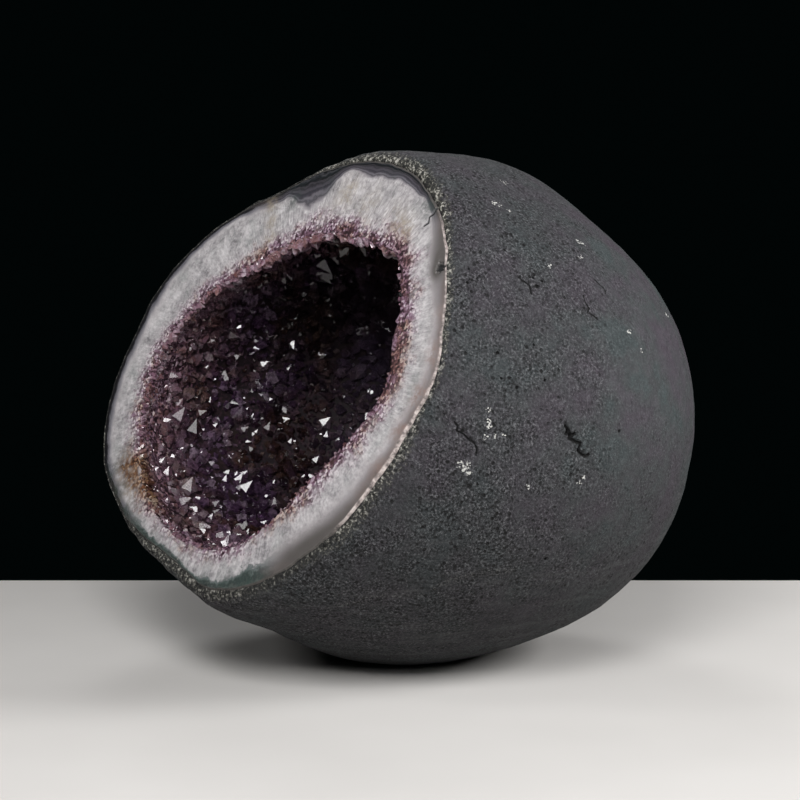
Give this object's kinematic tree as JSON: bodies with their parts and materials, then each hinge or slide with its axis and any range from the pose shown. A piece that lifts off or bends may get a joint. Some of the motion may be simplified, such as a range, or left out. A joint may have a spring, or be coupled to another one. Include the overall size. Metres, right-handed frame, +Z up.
{
  "type": "amethyst geode half",
  "caption": "Half of a sawn amethyst geode: a polished quartz and agate rim around an open hollow lined with crystal points, its rounded back coated in mortar with a flat resting face",
  "frame": {"origin": "on the floor under the stone, inside its flat resting face", "axes": "+Z is up, away from the resting face; the cut face looks towards -Y and leans back 25 degrees; +X is to the right of someone facing the cut"},
  "size_m": [0.3822, 0.349, 0.3393],
  "materials": {
    "mortar": "matte sanded mortar",
    "quartz": "polished cut face",
    "amethyst": "glassy crystal faces"
  },
  "bodies": {
    "root": {"mortar_coat": "mortar", "quartz_wall": "quartz", "amethyst_crust": "amethyst"}
  },
  "joints": []
}
